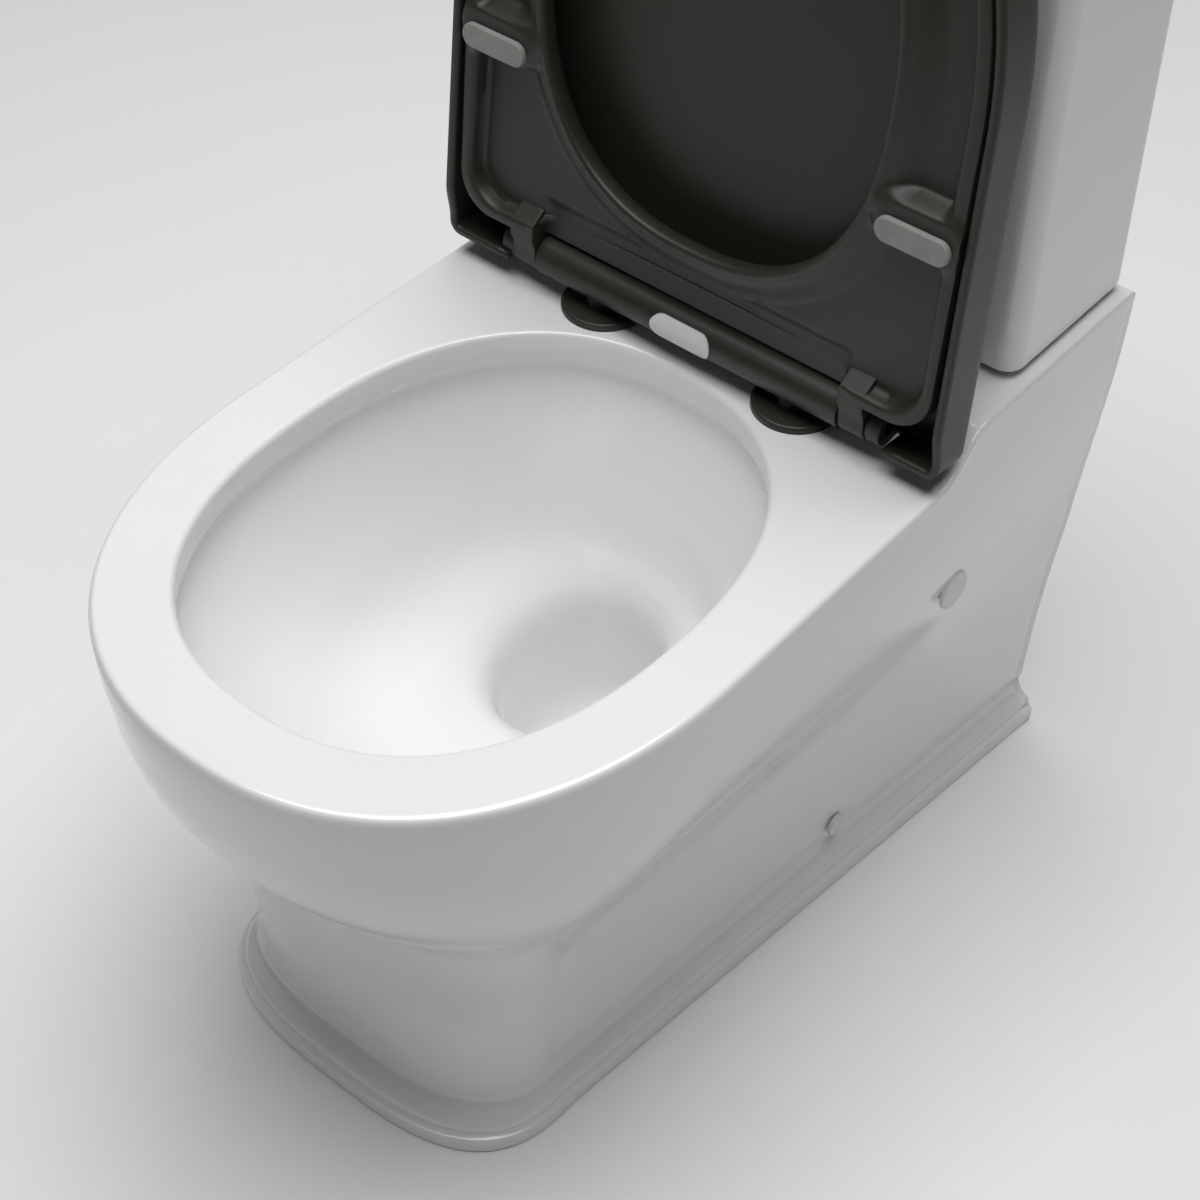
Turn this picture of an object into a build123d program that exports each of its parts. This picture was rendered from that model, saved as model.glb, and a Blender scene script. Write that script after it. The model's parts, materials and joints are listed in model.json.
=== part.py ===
from build123d import *
import math
import os

# Close coupled toilet, in millimetres: x across, y from the front (-) to the wall (+), z up from the floor.

# Driving dimensions: the pan
DEPTH = 645.0            # front of the rim to the wall
BACK = DEPTH / 2         # wall plane
RIM_Z = 390.0            # top of the rim
DECK_Z = 417.0           # top of the rear deck, which carries the cistern
DECK_STEP = (115.0, 151.0)   # where the step up to the deck starts and ends
WALL = 11.0              # thickness of the china
NOSE_Y = -89.0           # where the rim's straight sides meet its rounded front

# Outer skin of the pan. Each row: height, half width at the nose, nose centre, nose length,
# roundness exponent of the nose, half width at the wall.
SKIN = [
    (0, 119, -160, 73, 3.0, 161),
    (100, 121, -160, 75, 3.0, 166),
    (170, 130, -152, 84, 2.8, 172),
    (205, 146, -140, 108, 2.6, 176),
    (240, 166, -122, 157, 2.45, 179),
    (280, 182, -104, 201, 2.35, 183),
    (320, 191, -93, 224, 2.3, 187),
    (355, 194, NOSE_Y, 233, 2.25, 190),
    (385, 194, NOSE_Y, 233.5, 2.25, 192),
    (DECK_Z, 194, NOSE_Y, 233.5, 2.25, 193),
]
# The bowl's inside. Each row: height, centre, half width, half length.
BOWL = [
    (RIM_Z + 1, -88, 148, 186),
    (366, -88, 149, 187),
    (330, -84, 140, 176),
    (280, -66, 118, 146),
    (240, -42, 94, 114),
    (205, -16, 64, 82),
    (165, 4, 48, 58),
    (120, 12, 42, 50),
]
BOWL_ROUNDNESS = 2.3
PLINTH = [(0, 16.0), (12, 16.0), (16, 12.0), (21, 12.0), (27, 5.0), (35, 0.0)]   # height, projection
PLINTH_FRONT = 1.3       # the plinth projects this much more at the front
DECK_THICK = 16.0
TRAP_BORE = 34.0         # radius of the waterway through the trap
TRAP_WALL = 9.0
TRAP_EASE = 1.5          # the turns of the trap are this much wider than its runs
TRAP_LINE = [(8, 142), (112, 158), (168, 240), (215, 190), (292, 190)]   # y and z of its turns
OUTLET_Z = 190.0         # height of the outlet above the floor
OUTLET_R = 51.0          # outside of the outlet spigot
OUTLET_END = 292.0
SPIGOT_LENGTH = 45.0

FLUSH_PIPE_R = 40.0      # flush inlet in the deck, under the coupling seal
DUCT = ((-50, 50), (60, 312), (342, 405))   # passage under the deck from the inlet to the bowl
DUCT_WALL = 9.0
HINGE_FLAT = 125.0       # the rim's level runs further back between these widths, under the hinge
HINGE_FLAT_BACK = 33.0
BOLT_HOLE_R = 6.0
INLET_CUTOUT_R = 24.0    # openings in the deck for the water inlet, one each side
SEAT_BOLT_Y = 119.0
CAP_HIGH = (10.0, 162.0, 263.0)      # hole radius and place of the access holes in the sides
CAP_LOW = (4.5, 108.0, 48.0)         # hole radius and place of the floor fixing holes

# Driving dimensions: the cistern
CISTERN_HALF = 185.0
CISTERN_FRONT = 190.5
CISTERN_GAP = 3.0        # foam and rubber hold the cistern off the deck
CISTERN_BOTTOM = DECK_Z + CISTERN_GAP
CISTERN_TOP = 782.0
CISTERN_CORNER = 12.0
CISTERN_WALL = 9.0
LID_TOP = 820.0
LID_OVERHANG = 3.5
FLUSH_Y = 262.0          # line of the flush valve, the bolts and the buttons
FLUSH_R = 32.0           # hole for the flush valve
BOLT_X = 75.0            # cistern fixing bolts
INLET_X = 135.0          # bottom inlet for the water
INLET_R = 10.45          # half inch pipe thread

# Driving dimensions: seat and hinge
HINGE_Y = 113.0
HINGE_Z = 415.0
LEAN = 6.0               # how far the raised seat leans back from upright
BARREL_R = 14.0
BARREL_HALF = 119.5
EAR = (120.5, 139.0)     # the seat's hinge ears, along x
LUG = (139.5, 150.0)     # the lid's hinge lugs, along x
PIN_R = 5.0
HOLE_X = 77.5            # seat fixing holes, 155 mm apart
HOLE_R = 7.0
DISC_R = 28.5
DISC_THICK = 5.0
POST_R = 8.0
BOLT_R = 4.0
POST_TOP = 8.0           # how far the post rises above the hinge axis
DAMPER_R = 9.0
DAMPER_LENGTH = 30.0
SOCKET_DEPTH = 20.0
EAR_R = 13.0
LUG_R = 12.0
SEAT_BOTTOM = 397.0
SEAT_THICK = 20.0
SEAT_HALF = 183.5
SEAT_NOSE = 228.5
SEAT_BACK = 96.0
SEAT_FLANGE = 11.0
SEAT_SKIN = 5.0
OPENING_Y = -100.0
OPENING = (124.0, 148.0, 2.4)        # half width, half length, roundness
BUMPER = (50.0, 16.0)
BUMPER_PROUD = 6.6
BUMPER_DEEP = 10.0
BUMPERS = [(-155, -29), (155, -29), (-88, -262), (88, -262)]
COVER_HALF = 191.0
COVER_HINGE_HALF = 194.0
COVER_NOSE = 236.0
COVER_BACK = HINGE_Y + 10
COVER_TOP = 434.5
COVER_BOTTOM = 395.5
COVER_WALL = 4.5
COVER_ROUND = 4.0
COVER_PADS = [(-60, -283), (60, -283), (-150, 60), (150, 60)]
COVER_PAD_R = 7.0
BUTTON_X = 47.0          # release button: length, height, depth of its pocket, travel
BUTTON_H = 18.0
BUTTON_DEEP = 5.0
BUTTON_TRAVEL = 2.5
BUTTON_PROUD = 0.8

# Driving dimensions: flush and fill gear
FLOOR = CISTERN_BOTTOM + 11          # inside floor of the tank
FLUSH_BORE = 27.0
VALVE_TOP = 690.0
TUBE_R = 12.0
SEAL_THICK = 4.0
INLET_SIDE = -1
INLET_TAIL = 45.0
INLET_THREAD = 25.0       # share of the tail that the connector screws on to
INLET_SHANK_R = 10.0      # plain part through the tank floor and its nut
FILL_TOP = 640.0
ARM_Y = FLUSH_Y - 24     # pivot of the float arm
ARM_Z = FILL_TOP + 12
ARM_END = ARM_Y - 32
FLOAT_Y = 217.0
FLOAT_Z = 540.0
COLLAR_GAP = 2.5
BEZEL_R = 30.0
ROD_R = 3.0
ROD_X = (-19.0, 19.0)
SPLIT_X = -6.0           # the line between the half flush and the full flush button
BUTTON_STROKE = 6.0

# Driving dimensions: caps and floor fixings
CAP_HIGH_R = 14.0
CAP_LOW_R = 8.5
SIDE_SCREW_R = 2.0
BRACKET_GAP = 5.0        # between a floor bracket and the china
FLOOR_HOLE_R = 3.5
FLOOR_HOLE_X = 105.0

FIT = 0.05               # radial clearance of a running fit
GAP = 0.4                # clearance between neighbouring pieces


def outline(half, nose_y, nose, power, half_back, back_y, steps=5):
    """Half-open plan outline: straight sides joined by a superelliptic nose, closed by a line at the back."""
    points = [(half_back, back_y), ((half + half_back) / 2, (nose_y + back_y) / 2)]
    for step in range(2 * steps + 1):
        angle = math.pi / 2 * step / steps
        c, s = math.cos(angle), math.sin(angle)
        x = half * math.copysign(abs(c) ** (2 / power), c)
        points.append((x, nose_y - nose * abs(s) ** (2 / power)))
    points += [(-points[1][0], points[1][1]), (-half_back, back_y)]
    return points


def plan_wire(points, z):
    """Closed wire at height z through the outline's points, straight across the back."""
    curve = Spline([(x, y, z) for x, y in points])
    return Wire([curve, Line((*points[-1], z), (*points[0], z))])


def plan_face(points, z):
    return Face(plan_wire(points, z))


def loft_levels(faces):
    """Solid through a stack of plan faces, straight from each to the next."""
    return Solid.make_loft([face.outer_wire() for face in faces], ruled=True)


def raise_face(face, height):
    """Upright prism on a plan face."""
    return extrude(face, height, dir=(0, 0, 1))


def oval(centre, half_x, half_y, power, z, steps=4):
    """Closed superellipse at height z."""
    points = []
    for step in range(4 * steps):
        angle = math.pi / 2 * step / steps
        c, s = math.cos(angle), math.sin(angle)
        x = half_x * math.copysign(abs(c) ** (2 / power), c)
        y = centre + half_y * math.copysign(abs(s) ** (2 / power), s)
        points.append((x, y, z))
    return Face(Wire([Spline(points, periodic=True)]))


def box(x, y, z):
    """Box between three (low, high) pairs."""
    size = [high - low for low, high in (x, y, z)]
    return Pos((x[0] + x[1]) / 2, (y[0] + y[1]) / 2, (z[0] + z[1]) / 2) * Box(*size)


def rod(radius, start, length, axis="z"):
    """Cylinder that starts at a point and runs along +x, +y or +z."""
    turn = {"x": Rot(0, 90, 0), "y": Rot(-90, 0, 0), "z": Rot(0, 0, 0)}[axis]
    upright = (Align.CENTER, Align.CENTER, Align.MIN)
    return Pos(*start) * turn * Cylinder(radius, length, align=upright)


def tube(outer, inner, start, length, axis="z"):
    return rod(outer, start, length, axis) - rod(inner, start, length, axis)


def pill(centre_x, centre_y, z, length, width, height):
    """Upright prism with rounded ends, long along x."""
    return Pos(centre_x, centre_y, z) * extrude(SlotOverall(length, width), height)


def pair(shape):
    """The shape and its mirror image across the middle."""
    return Compound(children=[shape, mirror(shape, about=Plane.YZ)])


def opened(shape):
    """Turn a piece drawn closed, flat on the rim, to where it leans when it is raised."""
    hinge = Axis((0, HINGE_Y, HINGE_Z), (1, 0, 0))
    return shape.rotate(hinge, -(90 + LEAN))


# ---- china -------------------------------------------------------------------------------------

def skin(inset, z_low, z_high, back):
    """Solid inside the pan's outer skin above the plinth, drawn in by an inset all round."""
    levels = [(z_low, *SKIN[0][1:]), *SKIN[1:-1], (z_high, *SKIN[-1][1:])]
    return loft_levels([
        plan_face(outline(half - inset, nose_y, nose - inset, power, half_back - inset, back), z)
        for z, half, nose_y, nose, power, half_back in levels
    ])


def plinth():
    """Stepped moulding round the foot, level by level."""
    _, half, nose_y, nose, power, half_back = SKIN[0]
    wires = [
        plan_wire(outline(half + out, nose_y, nose + PLINTH_FRONT * out, power, half_back + out, BACK), height)
        for height, out in PLINTH
    ]
    return Solid.make_loft(wires, ruled=True)


def bowl(grow):
    """Inside of the bowl, or its outside when grown by the wall thickness."""
    return loft_levels([oval(y, a + grow, b + grow, BOWL_ROUNDNESS, z) for z, y, a, b in BOWL])


def waterway(radius):
    """Trap: back from the sump, up over the weir and down to the outlet, as straight runs with ball corners."""
    runs = list(zip(TRAP_LINE, TRAP_LINE[1:]))
    pieces = []
    for (y0, z0), (y1, z1) in runs:
        plane = Plane((0, y0, z0), z_dir=(0, y1 - y0, z1 - z0))
        length = math.hypot(y1 - y0, z1 - z0)
        pieces.append(plane * Cylinder(radius, length, align=(Align.CENTER, Align.CENTER, Align.MIN)))
    pieces += [Pos(0, y, z) * Sphere(radius + TRAP_EASE) for y, z in TRAP_LINE[1:-1]]
    return pieces[0].fuse(*pieces[1:])


def deck_cut(drop=0.0):
    """Everything above the rim, ahead of the soft step up to the deck."""
    start, end = DECK_STEP
    low, high, top = RIM_Z - drop, DECK_Z - drop, DECK_Z + 30
    step = Spline((start, low), (end, high), tangents=((1, 0), (1, 0)))
    side = Wire([Line((-400, low), (start, low)), step, Line((end, high), (end, top)),
                 Line((end, top), (-400, top)), Line((-400, top), (-400, low))])
    wide = Pos(-300, 0, 0) * extrude(Plane.YZ * Face(side), 600)
    narrow = Pos(-HINGE_FLAT, HINGE_FLAT_BACK, 0) * extrude(Plane.YZ * Face(side), 2 * HINGE_FLAT)
    return wide + narrow


def pan():
    outer = plinth().fuse(skin(0, PLINTH[-1][0], DECK_Z, BACK)) - deck_cut()
    hollow = skin(WALL, -1, DECK_Z - DECK_THICK, BACK + 1) - deck_cut(DECK_THICK)
    spigot = rod(OUTLET_R, (0, OUTLET_END - SPIGOT_LENGTH, OUTLET_Z), SPIGOT_LENGTH, "y")
    for kept in (box(*DUCT), bowl(WALL), waterway(TRAP_BORE + TRAP_WALL), spigot):
        hollow = hollow - kept
    passage = [(low + DUCT_WALL, high - DUCT_WALL) for low, high in DUCT]
    passage[1] = (BOWL[1][1] + BOWL[1][3] - 10, passage[1][1])
    passage[2] = (passage[2][0], RIM_Z - DECK_THICK)
    cuts = [rod(FLUSH_PIPE_R, (0, FLUSH_Y, passage[2][0]), 100), box(*passage)]
    for side in (-1, 1):
        cuts.append(rod(HOLE_R, (side * HOLE_X, SEAT_BOLT_Y, RIM_Z - 40), 60))
        cuts.append(rod(BOLT_HOLE_R, (side * BOLT_X, FLUSH_Y, DECK_Z - 40), 60))
        cuts.append(rod(INLET_CUTOUT_R, (side * INLET_X, FLUSH_Y, DECK_Z - 40), 60))
        for hole_r, (_, y, z), depth in ((CAP_HIGH[0], CAP_HIGH, 30), (CAP_LOW[0], CAP_LOW, 7),
                                         (SIDE_SCREW_R + 0.5, CAP_LOW, 30)):
            inner = side_x(y, z) - depth
            start = inner if side > 0 else -inner - 60
            cuts.append(rod(hole_r, (start, y, z), 60, "x"))
    body = outer - hollow
    body = body - bowl(0)
    body = body - waterway(TRAP_BORE)
    for cut in cuts:
        body = body - cut
    return max(body.solids(), key=lambda solid: solid.volume)


def cistern():
    def body(inset, z_low, z_high):
        low = Pos(0, (CISTERN_FRONT + BACK) / 2, z_low)
        width = 2 * (CISTERN_HALF - inset)
        depth = BACK - CISTERN_FRONT - 2 * inset
        return extrude(low * RectangleRounded(width, depth, CISTERN_CORNER - min(inset, 6)), z_high - z_low)

    tank = fillet(body(0, CISTERN_BOTTOM, CISTERN_TOP).faces().sort_by(Axis.Z)[0].edges(), 6)
    tank = tank - body(CISTERN_WALL, FLOOR, CISTERN_TOP + 1)
    tank = tank - rod(FLUSH_R + 1, (0, FLUSH_Y, CISTERN_BOTTOM - 1), 20)
    for side in (-1, 1):
        tank = tank - rod(6, (side * BOLT_X, FLUSH_Y, CISTERN_BOTTOM - 1), 20)
        tank = tank - rod(INLET_R + 2, (side * INLET_X, FLUSH_Y, CISTERN_BOTTOM - 1), 20)
    return tank


def cistern_lid():
    """Lid with a stepped edge, hollow below, that drops over the rim of the tank."""
    def slab(out, z_low, z_high):
        width = 2 * (CISTERN_HALF + out)
        front, back = CISTERN_FRONT - out, BACK + min(out, 0)
        depth = back - front
        centre = Pos(0, (front + back) / 2, z_low)
        return extrude(centre * RectangleRounded(width, depth, CISTERN_CORNER), z_high - z_low)

    lid = slab(0, CISTERN_TOP, CISTERN_TOP + 8) + slab(LID_OVERHANG, CISTERN_TOP + 8, LID_TOP)
    lid = fillet(lid.faces().sort_by(Axis.Z)[-1].edges(), 5)
    lid = lid - slab(-CISTERN_WALL, CISTERN_TOP - 1, LID_TOP - 14)
    lip = slab(-CISTERN_WALL - 1, CISTERN_TOP - 12, LID_TOP - 13) - slab(-CISTERN_WALL - 5, CISTERN_TOP - 13, LID_TOP)
    return lid + lip - rod(BEZEL_R + GAP, (0, FLUSH_Y, CISTERN_TOP), 60)


# ---- seat and its hinge ------------------------------------------------------------------------

def seat_outline(inset):
    """Seat's plan, drawn in by an inset, closed across the back ahead of the hinge barrel."""
    return outline(SEAT_HALF - inset, NOSE_Y, SEAT_NOSE - inset, 2.25, SEAT_HALF - inset, SEAT_BACK - inset)


def seat():
    """Ring, hollow below, with hinge ears and bosses for its bumpers. Drawn closed."""
    top = SEAT_BOTTOM + SEAT_THICK
    ring = raise_face(plan_face(seat_outline(0), SEAT_BOTTOM), SEAT_THICK)
    hollow = raise_face(plan_face(seat_outline(SEAT_FLANGE), SEAT_BOTTOM - 1), SEAT_THICK - SEAT_SKIN + 1)
    opening = raise_face(oval(OPENING_Y, *OPENING, SEAT_BOTTOM - 1), SEAT_THICK + 2)
    band = raise_face(oval(OPENING_Y, OPENING[0] + 13, OPENING[1] + 13, OPENING[2], SEAT_BOTTOM), SEAT_THICK - 2)
    hollow = hollow - band
    for x, y in BUMPERS:
        hollow = hollow - pill(x, y, SEAT_BOTTOM, BUMPER[0] + 8, BUMPER[1] + 8, SEAT_THICK)
    ring = ring - hollow - opening
    for x, y in BUMPERS:
        ring = ring - pill(x, y, SEAT_BOTTOM - 1, *BUMPER, 1 + BUMPER_DEEP)
    for side in (-1, 1):
        x = tuple(sorted((side * EAR[0], side * EAR[1])))
        arm = box(x, (SEAT_BACK - SEAT_FLANGE + 1, HINGE_Y), (HINGE_Z - EAR_R, top - 0.5))
        ear = arm + rod(EAR_R, (x[0], HINGE_Y, HINGE_Z), EAR[1] - EAR[0], "x")
        ring = ring.fuse(ear - rod(PIN_R + 0.01, (x[0] - 1, HINGE_Y, HINGE_Z), EAR[1] - EAR[0] + 2, "x"))
    return opened(ring)


def seat_cover():
    """Lid of the seat: a shallow tray, open below, that encloses the seat. Drawn closed."""
    def tray(inset, low, high):
        points = outline(COVER_HALF - inset, NOSE_Y, COVER_NOSE - inset, 2.25, COVER_HINGE_HALF - inset,
                         COVER_BACK - inset)
        return raise_face(plan_face(points, low), high - low)

    shell = tray(0, COVER_BOTTOM, COVER_TOP)
    shell = fillet(shell.faces().sort_by(Axis.Z)[-1].edges(), COVER_ROUND)
    inside = tray(COVER_WALL, COVER_BOTTOM - 1, COVER_TOP - COVER_WALL)
    notch = box((-LUG[1], LUG[1]), (COVER_BACK - 8, COVER_BACK + 1), (COVER_BOTTOM - 1, COVER_TOP - COVER_WALL))
    shell = shell - inside - notch
    for side in (-1, 1):
        x = tuple(sorted((side * LUG[0], side * LUG[1])))
        lug = box(x, (HINGE_Y - LUG_R, HINGE_Y + 4), (HINGE_Z, COVER_TOP - 2))
        shell = shell + lug + rod(LUG_R, (x[0], HINGE_Y, HINGE_Z), LUG[1] - LUG[0], "x")
        shell = shell - rod(PIN_R + FIT, (x[0] - 1, HINGE_Y, HINGE_Z), LUG[1] - LUG[0] + 2, "x")
    return opened(shell)


def hinge_barrel():
    """Round housing between the ears, which drops onto the two posts and holds the dampers."""
    body = rod(BARREL_R, (-BARREL_HALF, HINGE_Y, HINGE_Z), 2 * BARREL_HALF, "x")
    for side in (-1, 1):
        start = side * BARREL_HALF - (DAMPER_LENGTH if side > 0 else 0)
        body = body - rod(DAMPER_R + FIT, (start, HINGE_Y, HINGE_Z), DAMPER_LENGTH, "x")
        body = body - rod(POST_R + FIT, (side * HOLE_X, HINGE_Y, HINGE_Z - 20), 20 + POST_TOP + GAP)
    return body - button_block(BUTTON_DEEP - GAP, GAP)


def button_block(start, grow):
    """Pill shaped block that faces forwards from the barrel, from a distance off its axis."""
    plane = Plane((0, HINGE_Y, HINGE_Z), x_dir=(1, 0, 0), z_dir=(0, -1, 0))
    block = extrude(SlotOverall(BUTTON_X + 2 * grow, BUTTON_H + 2 * grow), 30)
    return plane * Pos(0, 0, start) * block


def release_button():
    """Push button, flush with the barrel and slightly proud of it."""
    skin_cylinder = rod(BARREL_R + BUTTON_PROUD, (-BUTTON_X, HINGE_Y, HINGE_Z), 2 * BUTTON_X, "x")
    return button_block(BUTTON_DEEP + BUTTON_TRAVEL, 0) & skin_cylinder


def hinge_base(side):
    """Round foot on the rim with the post that carries the barrel."""
    centre = (side * HOLE_X, SEAT_BOLT_Y, RIM_Z)
    foot = fillet(rod(DISC_R, centre, DISC_THICK).faces().sort_by(Axis.Z)[-1].edges(), 2)
    post = rod(POST_R, (side * HOLE_X, HINGE_Y, RIM_Z + DISC_THICK - 1), HINGE_Z - RIM_Z - DISC_THICK + POST_TOP)
    return foot + post - rod(BOLT_R, (side * HOLE_X, SEAT_BOLT_Y, RIM_Z - 1), 4)


def damper(side):
    """Soft close damper: a sealed cylinder in the barrel with the shaft that turns in it."""
    start = side * BARREL_HALF - (DAMPER_LENGTH if side > 0 else 0)
    return rod(DAMPER_R, (start, HINGE_Y, HINGE_Z), DAMPER_LENGTH, "x") - damper_socket(side)


def damper_socket(side):
    """Hole in a damper's outer end for the hinge pin."""
    start = side * BARREL_HALF - (SOCKET_DEPTH if side > 0 else 0)
    return rod(PIN_R + FIT, (start, HINGE_Y, HINGE_Z), SOCKET_DEPTH, "x")


def hinge_pin(side):
    """Pin from the damper through the seat's ear and the lid's lug."""
    low, high = BARREL_HALF - SOCKET_DEPTH + 1, LUG[1]
    start = low if side > 0 else -high
    return rod(PIN_R, (start, HINGE_Y, HINGE_Z), high - low, "x")


def seat_bumpers():
    """Soft pads pressed into the seat's underside."""
    pads = []
    for x, y in BUMPERS:
        pad = pill(x, y, SEAT_BOTTOM - BUMPER_PROUD, *BUMPER, BUMPER_PROUD + BUMPER_DEEP)
        pads.append(opened(fillet(pad.faces().sort_by(Axis.Z)[0].edges(), 1.5)))
    return Compound(children=pads)


def cover_bumpers():
    """Small round pads on the inside of the lid, which meet the seat's top when it closes."""
    top = COVER_TOP - COVER_WALL
    height = top - SEAT_BOTTOM - SEAT_THICK - GAP
    pads = [opened(rod(COVER_PAD_R, (x, y, top - height), height)) for x, y in COVER_PADS]
    return Compound(children=pads)


def seat_bolts():
    """Two bolts, with their heads sunk in the hinge feet."""
    bolt = rod(BOLT_R, (HOLE_X, SEAT_BOLT_Y, RIM_Z - 52), 55)
    return pair(bolt)


def seat_washers():
    z = RIM_Z - DECK_THICK - 4
    return pair(tube(15, BOLT_R, (HOLE_X, SEAT_BOLT_Y, z), 4))


def wing_nut(x, y, top, bolt_r, span):
    """Nut with two wings, under a washer."""
    body = tube(bolt_r + 5, bolt_r, (x, y, top - 14), 14)
    wings = box((x - span / 2, x + span / 2), (y - 2, y + 2), (top - 14, top - 3))
    return body + (wings - rod(bolt_r + 4, (x, y, top - 15), 16))


def seat_nuts():
    return pair(wing_nut(HOLE_X, SEAT_BOLT_Y, RIM_Z - DECK_THICK - 4, BOLT_R, 36))


# ---- caps and floor fixings --------------------------------------------------------------------

def side_x(y, z):
    """Half width of the pan's side at a place on its straight flank, between the levels beside it."""
    for low, high in zip(SKIN, SKIN[1:]):
        if low[0] <= z <= high[0]:
            share = (z - low[0]) / (high[0] - low[0])
            nose_y, half, half_back = (low[i] + share * (high[i] - low[i]) for i in (2, 1, 5))
            return half + (half_back - half) * (y - nose_y) / (BACK - nose_y)
    return SKIN[-1][5]


def side_caps(hole, cap_r, plug):
    """Push-in covers of one pair of side holes: a thin head and a plug."""
    hole_r, y, z = hole
    face = side_x(y, z)
    stand = face + 0.1 * cap_r      # the flank leans, so the flat head stands a little off it
    head = fillet(rod(cap_r, (stand, y, z), 3, "x").faces().sort_by(Axis.X)[-1].edges(), 1)
    return pair(head + rod(hole_r - 0.1, (face - plug, y, z), plug + 3, "x"))


def floor_bracket(side):
    """Angle on the floor inside the foot, which takes the screw through the pan's side."""
    _, y, z = CAP_LOW
    face = side_x(y, z) - WALL - BRACKET_GAP
    x = sorted((side * (face - 45), side * face))
    wall = sorted((side * (face - 6), side * face))
    angle = box(x, (y - 20, y + 20), (0, 6)) + box(wall, (y - 20, y + 20), (0, 66))
    angle = angle - rod(SIDE_SCREW_R, (min(wall) - 1, y, z), 8, "x")
    return angle - rod(FLOOR_HOLE_R, (side * FLOOR_HOLE_X, y, -1), 8)


def side_screws():
    """Screws through the foot's sides into the brackets, under the lower caps."""
    _, y, z = CAP_LOW
    face = side_x(y, z)
    shank = rod(SIDE_SCREW_R, (face - WALL - 16, y, z), WALL + 10, "x")
    return pair(shank + rod(4, (face - 6.5, y, z), 3, "x"))


# ---- cistern fittings --------------------------------------------------------------------------

def coupling_seal():
    """Soft ring between the tank and the pan, round the flush valve's tail."""
    return tube(54, FLUSH_PIPE_R + 1, (0, FLUSH_Y, DECK_Z), CISTERN_GAP)


def coupling_bolts():
    bolt = rod(4, (BOLT_X, FLUSH_Y, DECK_Z - 50), FLOOR + 6 - DECK_Z + 50)
    head = rod(9, (BOLT_X, FLUSH_Y, FLOOR + 4), 5)
    return pair(bolt + head)


def coupling_washers():
    return pair(tube(14, 4, (BOLT_X, FLUSH_Y, FLOOR), 4))


def coupling_pads():
    """Rubber spacers between tank and deck, round the bolts."""
    return pair(tube(16, 7, (BOLT_X, FLUSH_Y, DECK_Z), CISTERN_GAP))


def coupling_nuts():
    return pair(wing_nut(BOLT_X, FLUSH_Y, DECK_Z - DECK_THICK, 4, 34))


def flush_valve():
    """Fixed body: threaded tail, seat ring, cage and bridge over the moving tube."""
    tail = tube(FLUSH_R, FLUSH_BORE, (0, FLUSH_Y, FLOOR - 30), 36)
    flange = tube(44, FLUSH_BORE, (0, FLUSH_Y, FLOOR + 3), 5)
    seat_ring = tube(FLUSH_BORE + 4, FLUSH_BORE, (0, FLUSH_Y, FLOOR + 8), 6)
    body = tail + flange + seat_ring
    for side in (-1, 1):
        x = sorted((side * 38, side * 43))
        body = body + box(x, (FLUSH_Y - 7, FLUSH_Y + 7), (FLOOR + 7, VALVE_TOP))
    bridge = box((-43, 43), (FLUSH_Y - 12, FLUSH_Y + 12), (VALVE_TOP - 6, VALVE_TOP))
    return body + bridge - rod(TUBE_R + 1, (0, FLUSH_Y, VALVE_TOP - 20), 40)


def flush_valve_seal():
    """Rubber washer between the valve's flange and the tank floor."""
    return tube(42, FLUSH_R, (0, FLUSH_Y, FLOOR), 3)


def flush_valve_nut():
    """Big nut under the tank, inside the deck's opening."""
    return tube(FLUSH_R + 5, FLUSH_R, (0, FLUSH_Y, CISTERN_BOTTOM - 12), 12)


def overflow_tube():
    """Moving tube with the lifting disc at its foot."""
    foot = FLOOR + 14 + SEAL_THICK
    pipe = tube(TUBE_R, TUBE_R - 2, (0, FLUSH_Y, foot), VALVE_TOP + 18 - foot)
    disc = tube(FLUSH_BORE + 6, TUBE_R - 2, (0, FLUSH_Y, foot), 5)
    return pipe + disc


def flush_seal():
    """Soft ring under the disc that shuts the valve."""
    return tube(FLUSH_BORE + 5, TUBE_R, (0, FLUSH_Y, FLOOR + 14), SEAL_THICK)


def fill_valve():
    """Threaded tail, riser and head, on the left."""
    x = INLET_SIDE * INLET_X
    tail = tube(INLET_R, 6, (x, FLUSH_Y, FLOOR - INLET_TAIL), INLET_THREAD)
    tail = tail + tube(INLET_SHANK_R, 6, (x, FLUSH_Y, FLOOR - INLET_TAIL), INLET_TAIL + 4)
    flange = tube(17, 6, (x, FLUSH_Y, FLOOR + 3), 5)
    riser = tube(8, 5, (x, FLUSH_Y, FLOOR + 7), FILL_TOP - FLOOR - 7)
    head = rod(17, (x, FLUSH_Y, FILL_TOP), 24)
    # fork that carries the float arm's pivot
    forks = [box((x - 8, x - 4.5), (FLUSH_Y - 34, FLUSH_Y - 10), (FILL_TOP + 6, FILL_TOP + 18)),
             box((x + 4.5, x + 8), (FLUSH_Y - 34, FLUSH_Y - 10), (FILL_TOP + 6, FILL_TOP + 18))]
    body = tail + flange + riser + head + forks[0] + forks[1]
    return body - rod(2, (x - 20, ARM_Y, ARM_Z), 40, "x")


def fill_valve_washer():
    return tube(17, INLET_SHANK_R, (INLET_SIDE * INLET_X, FLUSH_Y, FLOOR), 3)


def fill_valve_nut():
    return tube(17, INLET_SHANK_R, (INLET_SIDE * INLET_X, FLUSH_Y, CISTERN_BOTTOM - 8), 8)


def float_pin():
    """Pivot of the float arm, pressed into the fork."""
    return rod(2, (INLET_SIDE * INLET_X - 8, ARM_Y, ARM_Z), 16, "x")


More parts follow.
